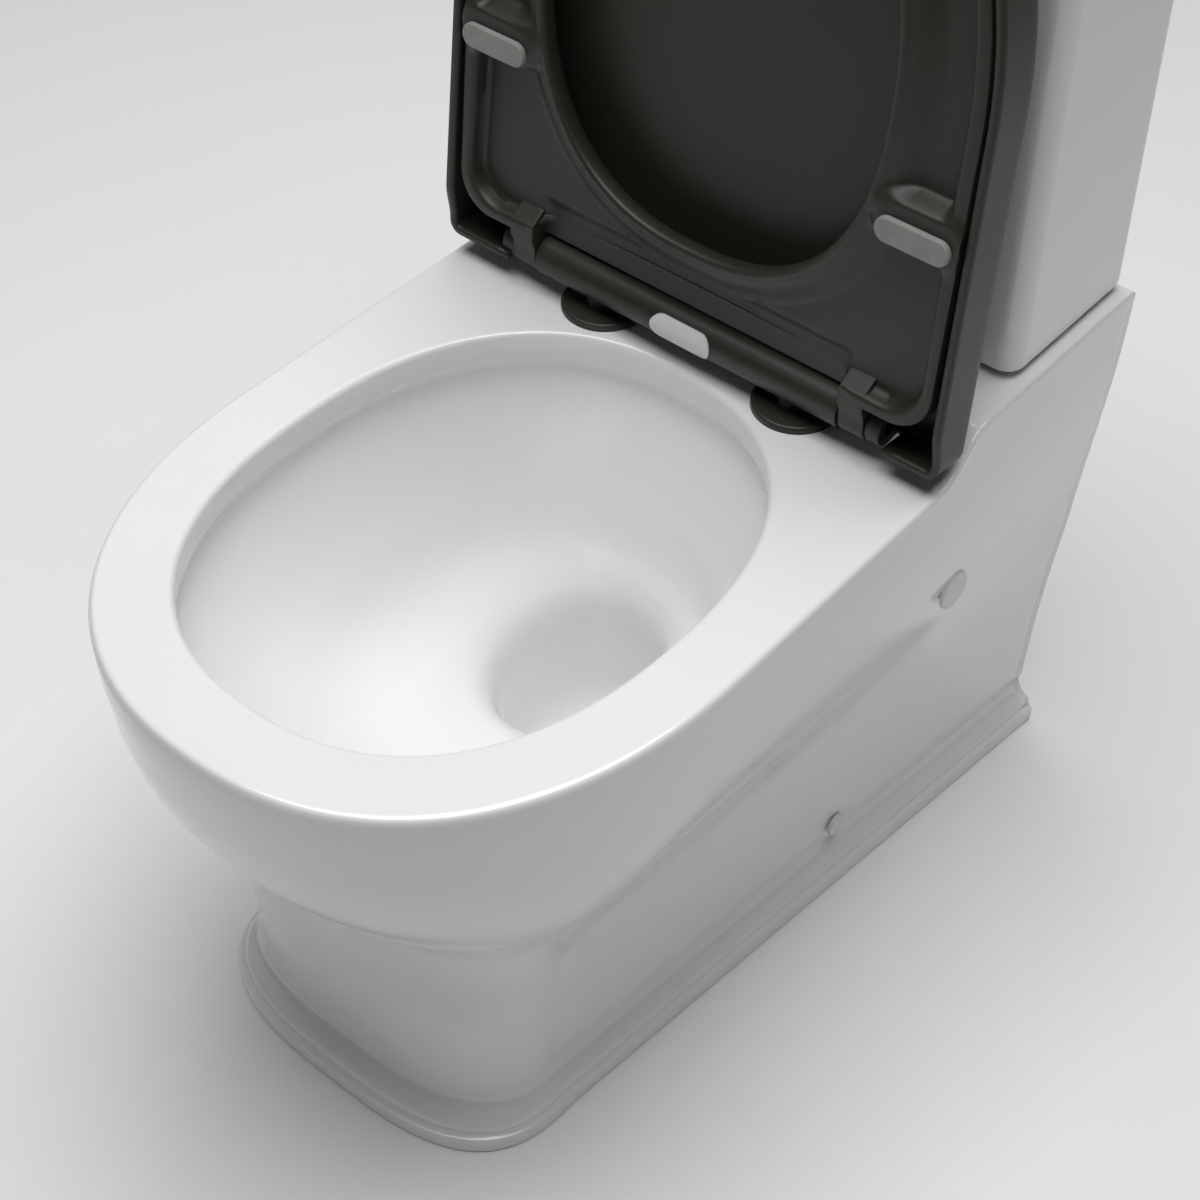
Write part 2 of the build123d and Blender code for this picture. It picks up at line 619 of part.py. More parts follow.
def float_arm():
    """Short lever on the pivot, forked round the float's rod at its far end."""
    x = INLET_SIDE * INLET_X
    arm = box((x - 4, x + 4), (ARM_END, ARM_Y), (ARM_Z - 3, ARM_Z + 3)) + rod(5, (x - 4, ARM_Y, ARM_Z), 8, "x")
    slot = box((x - 2.2, x + 2.2), (ARM_END - 1, ARM_END + 9), (ARM_Z - 6, ARM_Z + 6))
    return arm - slot - rod(2 + FIT, (x - 6, ARM_Y, ARM_Z), 12, "x")


def fill_float():
    """Inverted cup that rides up and down beside the riser."""
    x = INLET_SIDE * INLET_X
    cup = box((x - 24, x + 24), (FLOAT_Y - 14, FLOAT_Y + 14), (FLOAT_Z, FLOAT_Z + 60))
    cup = fillet(cup.edges().filter_by(Axis.Z), 8)
    hollow = box((x - 21, x + 21), (FLOAT_Y - 11, FLOAT_Y + 11), (FLOAT_Z - 1, FLOAT_Z + 56))
    return cup - fillet(hollow.edges().filter_by(Axis.Z), 5)


def float_rod():
    """Rod from the float to the arm, with the two collars that hold the arm between them."""
    x = INLET_SIDE * INLET_X
    y = ARM_END + 4
    stem = rod(1.5, (x, y, FLOAT_Z + 60), ARM_Z + 14 - FLOAT_Z - 60)
    return stem + rod(4, (x, y, ARM_Z - 3 - COLLAR_GAP - 3), 3) + rod(4, (x, y, ARM_Z + 3 + COLLAR_GAP), 3)


# ---- flush buttons -----------------------------------------------------------------------------

def button_bezel():
    """Chromed cup set through the tank lid."""
    rim = fillet(tube(BEZEL_R + 4, BEZEL_R - 3, (0, FLUSH_Y, LID_TOP), 3).faces().sort_by(Axis.Z)[-1].edges(), 1)
    sleeve = tube(BEZEL_R, BEZEL_R - 3, (0, FLUSH_Y, LID_TOP - 34), 34.5)
    floor = rod(BEZEL_R - 2, (0, FLUSH_Y, LID_TOP - 34), 3)
    for rod_x in ROD_X:
        floor = floor - rod(ROD_R + 0.4, (rod_x, FLUSH_Y, LID_TOP - 40), 20)
    return rim + sleeve + floor


def bezel_nut():
    """Ring nut that clamps the bezel under the tank lid."""
    return tube(BEZEL_R + 6, BEZEL_R, (0, FLUSH_Y, LID_TOP - 14 - 8), 8)


def button_cap(side):
    """One share of the round button: the larger one flushes fully. The gap between them is straight."""
    cap = rod(BEZEL_R - 3 - GAP, (0, FLUSH_Y, LID_TOP - 6), 7.5)
    far = 2 * BEZEL_R
    x = (SPLIT_X + GAP / 2, far) if side > 0 else (-far, SPLIT_X - GAP / 2)
    half = cap & box(x, (FLUSH_Y - far, FLUSH_Y + far), (LID_TOP - 10, LID_TOP + 5))
    return half


def push_rod(x):
    """Rod screwed into a button's underside, down to just above the valve's bridge."""
    foot = VALVE_TOP + BUTTON_STROKE + 2
    return rod(ROD_R, (x, FLUSH_Y, foot), LID_TOP - 6 - foot)


def button_spring(x):
    """Light spring that brings a button back up."""
    low, high = LID_TOP - 31, LID_TOP - 6
    wire = 0.5
    turns = Helix(pitch=5, height=high - low - 2 * wire, radius=ROD_R + 1.6, center=(x, FLUSH_Y, low + wire))
    return sweep(Plane(turns @ 0, z_dir=turns % 0) * Circle(wire), turns, is_frenet=True)


PARTS = {
    "pan": pan,
    "cistern": cistern,
    "cistern_lid": cistern_lid,
    "seat": seat,
    "seat_lid": seat_cover,
    "hinge_barrel": hinge_barrel,
    "release_button": release_button,
    "hinge_base_left": lambda: hinge_base(-1),
    "hinge_base_right": lambda: hinge_base(1),
    "damper_left": lambda: damper(-1),
    "damper_right": lambda: damper(1),
    "hinge_pin_left": lambda: hinge_pin(-1),
    "hinge_pin_right": lambda: hinge_pin(1),
    "seat_bumpers": seat_bumpers,
    "lid_bumpers": cover_bumpers,
    "seat_bolts": seat_bolts,
    "seat_washers": seat_washers,
    "seat_wing_nuts": seat_nuts,
    "upper_side_caps": lambda: side_caps(CAP_HIGH, CAP_HIGH_R, 8),
    "lower_side_caps": lambda: side_caps(CAP_LOW, CAP_LOW_R, 2.5),
    "floor_bracket_left": lambda: floor_bracket(-1),
    "floor_bracket_right": lambda: floor_bracket(1),
    "side_screws": side_screws,
    "coupling_seal": coupling_seal,
    "coupling_bolts": coupling_bolts,
    "coupling_washers": coupling_washers,
    "coupling_pads": coupling_pads,
    "coupling_wing_nuts": coupling_nuts,
    "flush_valve_body": flush_valve,
    "flush_valve_washer": flush_valve_seal,
    "flush_valve_nut": flush_valve_nut,
    "overflow_tube": overflow_tube,
    "flush_seal": flush_seal,
    "fill_valve_body": fill_valve,
    "fill_valve_washer": fill_valve_washer,
    "fill_valve_nut": fill_valve_nut,
    "float_pivot_pin": float_pin,
    "float_arm": float_arm,
    "float_cup": fill_float,
    "float_rod": float_rod,
    "button_bezel": button_bezel,
    "bezel_nut": bezel_nut,
    "full_flush_button": lambda: button_cap(1),
    "half_flush_button": lambda: button_cap(-1),
    "full_push_rod": lambda: push_rod(ROD_X[1]),
    "half_push_rod": lambda: push_rod(ROD_X[0]),
    "full_button_spring": lambda: button_spring(ROD_X[1]),
    "half_button_spring": lambda: button_spring(ROD_X[0]),
}

if __name__ == "__main__":
    os.makedirs("parts", exist_ok=True)
    for name, make in PARTS.items():
        export_step(make(), f"parts/{name}.step")
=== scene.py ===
"""Close coupled toilet: builds the china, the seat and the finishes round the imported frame."""

import json

import bmesh
import bpy
import numpy as np
from bpy.props import FloatProperty, FloatVectorProperty, PointerProperty
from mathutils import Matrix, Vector


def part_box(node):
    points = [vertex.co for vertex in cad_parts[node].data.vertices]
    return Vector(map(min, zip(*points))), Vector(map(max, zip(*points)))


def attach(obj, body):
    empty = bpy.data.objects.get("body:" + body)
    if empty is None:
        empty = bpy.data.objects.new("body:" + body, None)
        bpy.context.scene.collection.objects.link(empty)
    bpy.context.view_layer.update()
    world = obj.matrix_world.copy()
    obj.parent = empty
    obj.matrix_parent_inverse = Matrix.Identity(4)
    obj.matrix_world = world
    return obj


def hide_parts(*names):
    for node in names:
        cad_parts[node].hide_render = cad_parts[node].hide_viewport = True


bl_info = {
    "name": "Close coupled toilet",
    "version": (1, 0, 0),
    "blender": (4, 5, 0),
    "location": "View3D > Sidebar > Toilet",
    "description": "Builds the china, seat, fittings and finishes of a close coupled toilet",
    "category": "Add Mesh",
}

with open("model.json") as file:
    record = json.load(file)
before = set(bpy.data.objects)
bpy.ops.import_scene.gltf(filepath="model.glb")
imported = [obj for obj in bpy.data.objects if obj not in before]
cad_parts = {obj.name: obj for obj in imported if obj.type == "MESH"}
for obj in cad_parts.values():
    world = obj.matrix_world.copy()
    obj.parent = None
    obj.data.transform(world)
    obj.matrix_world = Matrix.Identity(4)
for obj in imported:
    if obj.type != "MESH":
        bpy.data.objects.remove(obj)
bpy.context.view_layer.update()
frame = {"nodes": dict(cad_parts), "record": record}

PAN_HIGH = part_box("pan")[1]
TANK_LOW, TANK_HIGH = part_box("cistern")
TANK_LID_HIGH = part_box("cistern_lid")[1]
BARREL_LOW, BARREL_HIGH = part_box("hinge_barrel")
BEZEL_LOW, BEZEL_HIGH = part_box("button_bezel")

WALL_Y = PAN_HIGH.y                                  # plane of the wall behind
DECK_Z = PAN_HIGH.z
HINGE_Y = (BARREL_LOW.y + BARREL_HIGH.y) / 2
HINGE_Z = (BARREL_LOW.z + BARREL_HIGH.z) / 2
LEAN = np.radians(6.0)                               # raised seat, behind upright
SHARP_FOLD = np.radians(38)                          # folds sharper than this aren't smoothed over
BEVEL_FOLD = np.radians(35)                          # folds sharper than this are rounded


# ---- sizes and colours that a user may change ------------------------------------------------

def length(name, text, value, low=0.0):
    return FloatProperty(name=name, description=text, default=value, min=low, subtype="DISTANCE",
                         unit="LENGTH")


def colour(name, text, value):
    return FloatVectorProperty(name=name, description=text, default=value, size=3, subtype="COLOR",
                               min=0, max=1)


class PanSizes(bpy.types.PropertyGroup):
    rim_z: length("Rim height", "Floor to the top of the rim", 0.390)
    rim_round: length("Rim edge", "Radius of the rim's outer edge", 0.0042)
    lip_round: length("Lip edge", "Radius of the rim's inner edge", 0.0042)
    lip_depth: length("Lip depth", "Height of the upright band under the rim's inner edge", 0.022)
    wall: length("Wall", "Thickness of the china", 0.011)
    outlet_z: length("Outlet height", "Floor to the middle of the outlet", 0.190)


class TankSizes(bpy.types.PropertyGroup):
    corner: length("Corner", "Radius of the upright corners", 0.014)
    foot_round: length("Foot edge", "Radius of the lower edge", 0.007)
    lid_step: length("Lid step", "Height of the lid's lower band", 0.010)
    wall: length("Wall", "Thickness of the china", 0.009)


class SeatSizes(bpy.types.PropertyGroup):
    seat_thick: length("Seat thickness", "Thickness of the ring", 0.020)
    lid_wall: length("Lid wall", "Thickness of the lid's shell", 0.0045)
    lid_round: length("Lid edge", "Radius of the lid's top edge", 0.0075)


class Finishes(bpy.types.PropertyGroup):
    china: colour("China", "Glazed china", (0.89, 0.892, 0.90))
    seat: colour("Seat", "Moulded seat and lid", (0.027, 0.0262, 0.0200))
    button: colour("Button", "White plastic", (0.80, 0.80, 0.80))
    bumper: colour("Bumper", "Soft translucent pads", (0.30, 0.31, 0.295))


# ---- surfaces --------------------------------------------------------------------------------

def smooth(t):
    """Ease from 0 to 1: three t squared less two t cubed, clamped."""
    t = np.clip(t, 0, 1)
    return t * t * (3 - 2 * t)


def through(rows, at):
    """Value of each column at the heights given: a cubic Hermite curve through the rows, whose slopes
    are the mean of the chords on either side."""
    rows = np.asarray(rows, float)
    x, y = rows[:, 0], rows[:, 1:]
    chord = np.diff(y, axis=0) / np.diff(x)[:, None]
    slope = np.vstack([chord[:1], (chord[1:] + chord[:-1]) / 2, chord[-1:]])
    slope[1:-1] = np.where(chord[1:] * chord[:-1] <= 0, 0, slope[1:-1])
    at = np.clip(at, x[0], x[-1])
    i = np.clip(np.searchsorted(x, at, side="right") - 1, 0, len(x) - 2)
    step = (x[i + 1] - x[i])[..., None]
    t = ((at - x[i]) / (x[i + 1] - x[i]))[..., None]
    h00, h10 = 2 * t**3 - 3 * t**2 + 1, t**3 - 2 * t**2 + t
    h01, h11 = -2 * t**3 + 3 * t**2, t**3 - t**2
    return h00 * y[i] + h10 * step * slope[i] + h01 * y[i + 1] + h11 * step * slope[i + 1]


def power(value, exponent):
    """Signed power: the sign of the value times its size to the exponent."""
    return np.sign(value) * np.abs(value) ** exponent


def plan(u, half, nose_y, nose, roundness, half_back, back_y, corner=0.0):
    """Point of a closed plan outline at u from 0 to 4: down the right side, round the superelliptic nose,
    up the left side, and straight along the back between two corner arcs. Arguments may be arrays."""
    turn = np.clip(u - 1, 0, 1) * np.pi
    x_nose = half * power(np.cos(turn), 2 / roundness)
    y_nose = nose_y - nose * power(np.sin(turn), 2 / roundness)
    right, left, back = np.clip(u, 0, 1), np.clip(u - 2, 0, 1), np.clip(u - 3, 0, 1)
    bend = 0.2 if corner else 1e-6
    arc = (1 - np.clip(np.minimum(back, 1 - back) / bend, 0, 1)) * np.pi / 2
    flat = half_back - corner
    x_back = flat * np.clip((back - 0.5) / (0.5 - bend), -1, 1) + corner * np.sin(arc) * np.sign(back - 0.5)
    side_y = back_y - corner
    y_back = side_y + corner * np.cos(arc)
    stretch = [u < 1, u <= 2, u < 3]
    x = np.select(stretch, [half_back + (half - half_back) * right, x_nose,
                            -half - (half_back - half) * left], x_back)
    y = np.select(stretch, [side_y + (nose_y - side_y) * right, y_nose,
                            nose_y + (side_y - nose_y) * left], y_back)
    return x, y


def around(side=40, nose=120, back=48):
    """Values of u round a plan outline, closer together where the nose turns."""
    return np.concatenate([np.arange(side) / side, 1 + np.arange(nose) / nose,
                           2 + np.arange(side) / side, 3 + np.arange(back) / back])


def oval(angle, centre_y, half_x, half_y, roundness):
    """Superellipse in polar form about its centre: the radius is one over the n-th root of the sum of
    the n-th powers of cosine over half width and sine over half length."""
    c, s = np.cos(angle), np.sin(angle)
    radius = (np.abs(c / half_x) ** roundness + np.abs(s / half_y) ** roundness) ** (-1 / roundness)
    return radius * c, centre_y + radius * s


def rounded_box(u, half_x, low_y, high_y, radius):
    """Rounded rectangle at u from 0 to 4, corner arcs of a radius joined by straight sides."""
    k, t = np.floor(u).astype(int) % 4, u % 1
    hx, hy, mid = half_x - radius, (high_y - low_y) / 2 - radius, (high_y + low_y) / 2
    corner_x, corner_y = np.array([1, 1, -1, -1])[k] * hx, np.array([1, -1, -1, 1])[k] * hy
    next_x, next_y = np.array([1, -1, -1, 1])[k] * hx, np.array([-1, -1, 1, 1])[k] * hy
    angle = np.pi / 2 - k * np.pi / 2 - np.clip(t / 0.4, 0, 1) * np.pi / 2
    along = np.clip((t - 0.4) / 0.6, 0, 1)
    x = corner_x + (next_x - corner_x) * along + radius * np.cos(angle)
    y = corner_y + (next_y - corner_y) * along + radius * np.sin(angle)
    return x, mid + y


def row_middles(points):
    """Middle between each row of points and the next."""
    return (points[:-1] + points[1:]) / 2


def stack(*levels):
    """Rows of points to one array of rows by columns by xyz. Each level is (x, y, z), broadcast
    together."""
    return np.stack([np.stack(np.broadcast_arrays(*level), axis=-1) for level in levels])


def surface(name, points, ring=True, loop=False, keep=None, close_last=False, outward=1):
    """Mesh over a grid of points: ring joins the last column to the first, loop the last row to the first,
    keep holds True for the faces that stay, and close_last fans the last row to its middle. With outward -1
    the faces are turned over."""
    rows, cols = points.shape[:2]
    r = np.arange(rows if loop else rows - 1)[:, None]
    c = np.arange(cols if ring else cols - 1)[None, :]
    r1, c1 = (r + 1) % rows, (c + 1) % cols
    quads = np.stack([r * cols + c, r1 * cols + c, r1 * cols + c1, r * cols + c1], axis=-1)
    quads = quads[keep] if keep is not None else quads.reshape(-1, 4)
    faces = quads[:, ::outward].tolist()
    co = points.reshape(-1, 3)
    if close_last:
        middle = len(co)
        co = np.vstack([co, points[-1].mean(axis=0)])
        last = (rows - 1) * cols + np.arange(cols)
        fan = np.stack([last, np.full(cols, middle), np.roll(last, -1)], axis=-1)
        faces += fan[:, ::outward].tolist()
    mesh = bpy.data.meshes.new(name)
    mesh.from_pydata(co.tolist(), [], faces)
    mesh.validate()
    return piece(name, mesh)


def piece(name, mesh):
    """Object for a mesh, smooth but for its sharp folds."""
    shell = bmesh.new()
    shell.from_mesh(mesh)
    loose = [vertex for vertex in shell.verts if not vertex.link_faces]
    bmesh.ops.delete(shell, geom=loose, context="VERTS")
    shell.to_mesh(mesh)
    shell.free()
    mesh.polygons.foreach_set("use_smooth", np.ones(len(mesh.polygons), bool))
    mesh.set_sharp_from_angle(angle=SHARP_FOLD)
    obj = bpy.data.objects.new(name, mesh)
    bpy.context.scene.collection.objects.link(obj)
    return obj


def thicken(obj, wall):
    """Even wall behind the surface."""
    solid = obj.modifiers.new("Wall", "SOLIDIFY")
    solid.thickness, solid.offset, solid.use_rim = wall, -1, True


def prism(name, outline, low_x, high_x, bevel):
    """Upright outline in the y-z plane carried along x, with its edges rounded."""
    yz = np.asarray(outline, float)
    count = len(yz)
    co = np.vstack([np.column_stack([np.full(count, x), yz]) for x in (low_x, high_x)])
    ring = np.arange(count)
    after = np.roll(ring, -1)
    sides = np.stack([ring, after, after + count, ring + count], axis=-1).tolist()
    mesh = bpy.data.meshes.new(name)
    mesh.from_pydata(co.tolist(), [], sides + [ring[::-1].tolist(), (ring + count).tolist()])
    obj = piece(name, mesh)
    edge = obj.modifiers.new("Edge", "BEVEL")
    edge.width, edge.segments = bevel, 3
    edge.limit_method, edge.angle_limit = "ANGLE", BEVEL_FOLD
    return obj


def open_up(points):
    """Turn points drawn with the seat shut to where it leans when raised, about the hinge axis."""
    angle = -(np.pi / 2 + LEAN)
    y, z = points[..., 1] - HINGE_Y, points[..., 2] - HINGE_Z
    turned = points.copy()
    turned[..., 1] = HINGE_Y + y * np.cos(angle) - z * np.sin(angle)
    turned[..., 2] = HINGE_Z + y * np.sin(angle) + z * np.cos(angle)
    return turned


def tube(name, path, radius, sides=48):
    """Round tube along a path in the middle plane x = 0: each ring stands square to the path's
    direction there."""
    path = np.asarray(path, float)
    along = np.gradient(path, axis=0)
    along /= np.linalg.norm(along, axis=1)[:, None]
    turn = np.linspace(0, 2 * np.pi, sides, endpoint=False)[None, :]
    x = radius * np.cos(turn) + 0 * path[:, :1]
    y = path[:, :1] - radius * np.sin(turn) * along[:, 1:]
    z = path[:, 1:] + radius * np.sin(turn) * along[:, :1]
    return surface(name, np.stack([x, y, z], axis=-1))


# ---- shapes of the china ---------------------------------------------------------------------

# Outer skin. Height, half width at the nose, nose centre, nose length, roundness, half width at the wall.
SKIN = np.array([
    (0.000, 0.1190, -0.160, 0.0730, 3.00, 0.161),
    (0.100, 0.1210, -0.160, 0.0750, 3.00, 0.166),
    (0.165, 0.1290, -0.153, 0.0830, 2.80, 0.1715),
    (0.205, 0.1450, -0.140, 0.1070, 2.60, 0.176),
    (0.240, 0.1655, -0.122, 0.1560, 2.45, 0.179),
    (0.280, 0.1815, -0.104, 0.2005, 2.35, 0.183),
    (0.320, 0.1905, -0.093, 0.2235, 2.30, 0.187),
    (0.355, 0.1938, -0.089, 0.2325, 2.25, 0.190),
    (0.417, 0.1940, -0.089, 0.2333, 2.25, 0.193),
])
# Moulding round the foot: height and projection.
PLINTH = np.array([(0.0, 0.0145), (0.0015, 0.0158), (0.011, 0.0158), (0.0130, 0.0150), (0.0140, 0.0128),
                   (0.0150, 0.0120), (0.0165, 0.0122), (0.0205, 0.0110), (0.0225, 0.0085), (0.0250, 0.0050),
                   (0.0285, 0.0022), (0.0330, 0.0006), (0.0350, 0.0)])
PLINTH_FRONT = 1.3                                   # projection in front, as a share of that at the sides
SKIN_ROWS = 63
# Inside of the bowl. Height, centre, half width, half length, roundness.
BOWL = np.array([
    (0.120, 0.012, 0.042, 0.050, 2.2),
    (0.165, 0.004, 0.048, 0.058, 2.2),
    (0.205, -0.008, 0.0565, 0.0690, 2.2),
    (0.222, -0.024, 0.0710, 0.0890, 2.25),
    (0.240, -0.042, 0.094, 0.114, 2.3),
    (0.280, -0.066, 0.118, 0.146, 2.3),
    (0.330, -0.084, 0.140, 0.176, 2.3),
    (0.366, -0.088, 0.149, 0.187, 2.3),
    (0.392, -0.088, 0.148, 0.186, 2.3),
])
# Upright band inside the rim: height over the band's foot and how far it lies outside the opening.
BAND = ((0.003, 0.0002), (0.0, 0.0012), (-0.003, 0.0034), (-0.008, 0.0050))
UNDERCUT_DROP, UNDERCUT = -BAND[-1][0], BAND[-1][1]
BOWL_FLOOR_DEPTH = 0.030                             # rounded bottom below the bowl's last row
BACK_BEAM = 0.014                                    # height of the china over the open back
# Middle line of the trap: station, y and z. Two more stations lie along the outlet.
TRAP_PATH = [(0, 0.008, 0.142), (1, 0.112, 0.158), (2, 0.160, 0.232), (3, 0.215, 0.194)]
OUTLET_Y = ((4, 0.250), (5, 0.292))
TRAP_START = 0.78                                    # first station that stands clear of the bowl
TRAP_RADII = ((0, 4.0, 4.12, 5), (0.043, 0.043, 0.051, 0.051))
TRAP_WALL = 0.008


def deck_height(x, y, rim_z):
    """Top of the pan: the rim's level, with a soft step up to the deck that lies further back in
    the middle."""
    start = 0.115 + 0.033 * smooth((0.165 - np.abs(x)) / 0.040)
    return rim_z + (DECK_Z - rim_z) * smooth((y - start) / 0.036)


def skin_at(u, z):
    """Point of the outer skin at u round its outline and height z."""
    half, nose_y, nose, roundness, half_back = np.moveaxis(through(SKIN, z), -1, 0)
    return plan(u, half, nose_y, nose, roundness, half_back, WALL_Y)


class ToiletPan(bpy.types.Operator):
    """Pan: skin, stepped plinth, rim, deck and bowl as one sheet of china with an even wall"""
    bl_idname = "toilet.pan"
    bl_label = "Pan"

    def execute(self, context):
        size = context.scene.toilet_pan
        u = around()
        x_top, y_top = skin_at(u, np.full_like(u, DECK_Z))
        top = deck_height(x_top, y_top, size.rim_z)
        levels = []
        half, nose_y, nose, roundness, half_back = SKIN[0, 1:]
        for height, out in PLINTH:
            outline = plan(u, half + out, nose_y, nose + PLINTH_FRONT * out, roundness,
                           half_back + out, WALL_Y)
            levels.append((*outline, height))
        foot_top = PLINTH[-1, 0]
        for t in np.linspace(0, 1, SKIN_ROWS + 1)[1:]:
            z = foot_top + t * (top - size.rim_round - foot_top)
            levels.append((*skin_at(u, z), z))
        # inward directions on the top, towards the bowl's middle
        angle = np.arctan2(y_top - BOWL[-1, 1], x_top)
        x_in, y_in = oval(angle, *BOWL[-1, 1:])
        reach = np.hypot(x_in - x_top, y_in - y_top)
        dx, dy = (x_in - x_top) / reach, (y_in - y_top) / reach

        def top_point(inset, drop):
            x, y = x_top + dx * inset, np.minimum(y_top + dy * inset, WALL_Y)
            return x, y, deck_height(x, y, size.rim_z) - drop

        for step in np.linspace(0, np.pi / 2, 7)[1:]:
            inset = size.rim_round * (1 - np.cos(step))
            levels.append(top_point(inset, size.rim_round * (1 - np.sin(step))))
        for share in np.linspace(0, 1, 40)[1:-1]:
            inset = size.rim_round + share * (reach - size.rim_round - size.lip_round)
            levels.append(top_point(inset, 0.0))
        for step in np.linspace(0, np.pi / 2, 7):
            inset = reach - size.lip_round * (1 - np.sin(step))
            levels.append(top_point(inset, size.lip_round * (1 - np.cos(step))))
        # the upright band, the small undercut below it and the bowl's wall
        band_z = size.rim_z - size.lip_depth
        _, centre, half_x, half_y, roundness = BOWL[-1]
        levels.append((*oval(angle, centre, half_x, half_y, roundness), size.rim_z - 0.012))
        for rise, out in BAND:
            levels.append((*oval(angle, centre, half_x + out, half_y + out, roundness), band_z + rise))
        wall_z = band_z - UNDERCUT_DROP
        for t in np.linspace(0, 1, 56)[1:]:
            z = wall_z - t * (wall_z - BOWL[0, 0])
            centre, half_x, half_y, roundness = through(BOWL, np.array(z))
            out = UNDERCUT * (1 - smooth(t / 0.22))
            levels.append((*oval(angle, centre, half_x + out, half_y + out, roundness), z))
        low_z, centre, half_x, half_y, roundness = BOWL[0]
        for share in np.linspace(0, 1, 8)[1:]:
            shrink = np.cos(share * np.pi / 2) * 0.98 + 0.02
            z = low_z - BOWL_FLOOR_DEPTH * np.sin(share * np.pi / 2)
            levels.append((*oval(angle, centre, half_x * shrink, half_y * shrink, roundness), z))
        points = stack(*levels)
        on_skin = np.arange(len(points) - 1)[:, None] < len(PLINTH) + SKIN_ROWS - 1
        below_beam = row_middles(points)[..., 2] < DECK_Z - BACK_BEAM
        open_back = (u >= 3)[None, :] & on_skin & below_beam
        pan = surface("pan_china", points, keep=~open_back, close_last=True)
        thicken(pan, size.wall)
        finish_piece(pan, "china", "glazed_china", glazed_china(), "pan")
        # the trap and its outlet, seen from behind through the open skirt
        stations = np.linspace(TRAP_START, OUTLET_Y[-1][0], 80)
        outlet = [(station, y, size.outlet_z) for station, y in OUTLET_Y]
        radii = np.interp(stations, *TRAP_RADII)[:, None]
        trap = tube("trap_china", through(TRAP_PATH + outlet, stations), radii)
        thicken(trap, TRAP_WALL)
        finish_piece(trap, "china", "glazed_china", glazed_china())
        return {"FINISHED"}


LEAST_CORNER = 0.003                                 # corner radius where the foot draws in
BUTTON_HOLE_RADIUS = 0.0304


class ToiletTank(bpy.types.Operator):
    """Tank and its lid, with rounded corners and a stepped moulding round the lid"""
    bl_idname = "toilet.tank"
    bl_label = "Tank and lid"

    def execute(self, context):
        size = context.scene.toilet_tank
        u = np.linspace(0, 4, 240, endpoint=False)

        def ring(out, z):
            front, back = TANK_LOW.y - out, min(TANK_HIGH.y + out, WALL_Y)
            corner = max(size.corner + min(out, 0), LEAST_CORNER)
            return (*rounded_box(u, TANK_HIGH.x + out, front, back, corner), z)

        edge = size.foot_round
        levels = [ring(-0.055, TANK_LOW.z), ring(-0.030, TANK_LOW.z), ring(-edge - 0.002, TANK_LOW.z)]
        levels += [ring(-edge * (1 - np.sin(a)), TANK_LOW.z + edge * (1 - np.cos(a)))
                   for a in np.linspace(0, np.pi / 2, 7)]
        levels += [ring(0, z) for z in np.linspace(TANK_LOW.z + edge + 0.004, TANK_HIGH.z, 24)]
        tank = surface("cistern_china", stack(*levels))
        thicken(tank, size.wall)
        finish_piece(tank, "china", "glazed_china", glazed_china(), "cistern")

        top, over = TANK_LID_HIGH.z, TANK_LID_HIGH.x - TANK_HIGH.x
        low = TANK_HIGH.z
        step = low + size.lid_step
        profile = [(0, low), (0.0002, low + 0.002), (0.0002, step - 0.003), (0.0008, step - 0.0012),
                   (over - 0.0008, step + 0.0012), (over, step + 0.003), (over, top - 0.012)]
        profile += [(over - 0.006 * (1 - np.cos(a)), top - 0.006 + 0.006 * np.sin(a) - 0.004)
                    for a in np.linspace(0, np.pi / 2, 7)]
        profile += [(over - 0.010, top - 0.0028), (over - 0.018, top - 0.0008), (over - 0.030, top)]
        levels = [ring(out, z) for out, z in profile]
        hole_x, hole_y = (BEZEL_HIGH.x + BEZEL_LOW.x) / 2, (BEZEL_HIGH.y + BEZEL_LOW.y) / 2
        x0, y0, _ = levels[-1]
        angle = np.arctan2(y0 - hole_y, x0 - hole_x)
        x1 = hole_x + BUTTON_HOLE_RADIUS * np.cos(angle)
        y1 = hole_y + BUTTON_HOLE_RADIUS * np.sin(angle)
        for share in np.linspace(0, 1, 14)[1:]:
            levels.append((x0 + (x1 - x0) * share, y0 + (y1 - y0) * share, top))
        lid = surface("cistern_lid_china", stack(*levels))
        thicken(lid, size.wall)
        finish_piece(lid, "tank_lid", "glazed_china", glazed_china(), "cistern_lid")
        return {"FINISHED"}


# Outlines, drawn shut.
SEAT = dict(half=0.1835, nose_y=-0.089, nose=0.2285, roundness=2.25, half_back=0.1835,
            back_y=0.096, corner=0.027)
COVER = dict(half=0.191, nose_y=-0.089, nose=0.236, roundness=2.25, half_back=0.194,
             back_y=0.123, corner=0.009)
SEAT_LOW = 0.397
# The seat's hollow underside: its depth, and its edges out from the opening and in from the seat's edge.
SEAT_HOLLOW, HOLLOW_START, HOLLOW_END = 0.0115, 0.0260, 0.0160
COVER_LOW, COVER_TOP = 0.3955, 0.4345
COVER_MIDDLE_Y = -0.09
COVER_CROWN = 0.0006
COVER_REAR_LIFT = 0.0055                             # how much higher the lid's edge stands at the back
SEAT_HOLE = (-0.100, 0.124, 0.148, 2.4)              # centre, half width, half length, roundness
PADS = ((0.155, -0.029), (0.088, -0.262))
PAD_HALF = 0.017                                     # half the straight run of a pad's pill outline
PAD_SEAT_DROP = 0.0030                               # plateau under a pad, below the flange
EAR_X, EAR_RADIUS = (0.1205, 0.139), 0.013
LUG_X, LUG_RADIUS = (0.1395, 0.150), 0.012
ARM_BEVEL = 0.0012
SIDES = ((-1, "left"), (1, "right"))


